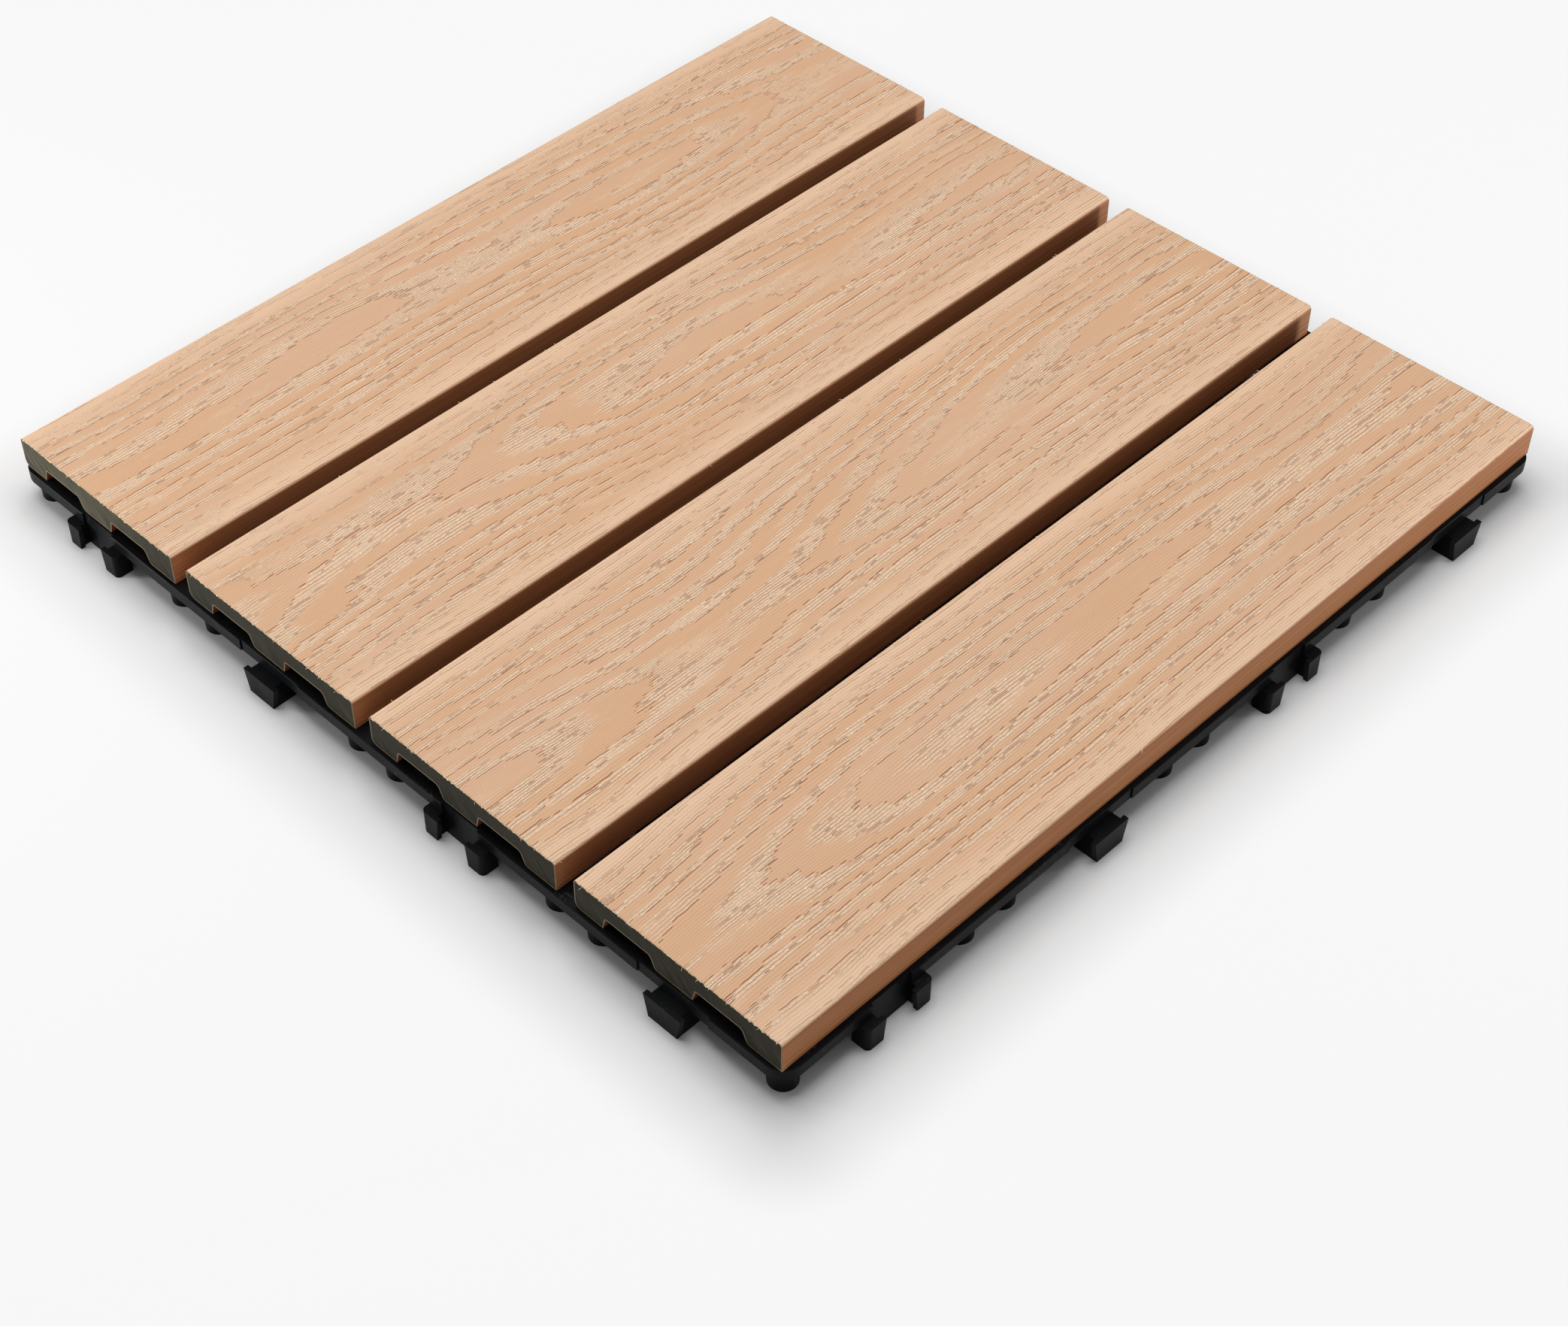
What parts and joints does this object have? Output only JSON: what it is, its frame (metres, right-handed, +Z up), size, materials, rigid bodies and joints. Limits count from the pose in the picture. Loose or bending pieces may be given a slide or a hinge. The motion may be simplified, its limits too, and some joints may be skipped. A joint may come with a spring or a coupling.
{
  "type": "interlocking deck tile",
  "caption": "Square deck tile of capped composite planks on a ribbed plastic base with lug and loop latches along its edges, for laying loose on a flat floor.",
  "frame": {"origin": "middle of the underside, on the floor that the feet stand on", "axes": "+X across the planks, +Y along the planks, +Z up"},
  "size_m": [0.304, 0.304, 0.0208],
  "materials": {
    "base": "satin moulded",
    "plank_core": "sawn wood and plastic composite",
    "plank_cap": "matt, embossed with wood grain on top",
    "screws": "black coated"
  },
  "bodies": {
    "root": {"base_grid": "base", "plank_1_core": "plank_core", "plank_1_cap": "plank_cap", "plank_2_core": "plank_core", "plank_2_cap": "plank_cap", "plank_3_core": "plank_core", "plank_3_cap": "plank_cap", "plank_4_core": "plank_core", "plank_4_cap": "plank_cap", "screws": "screws"}
  },
  "joints": []
}
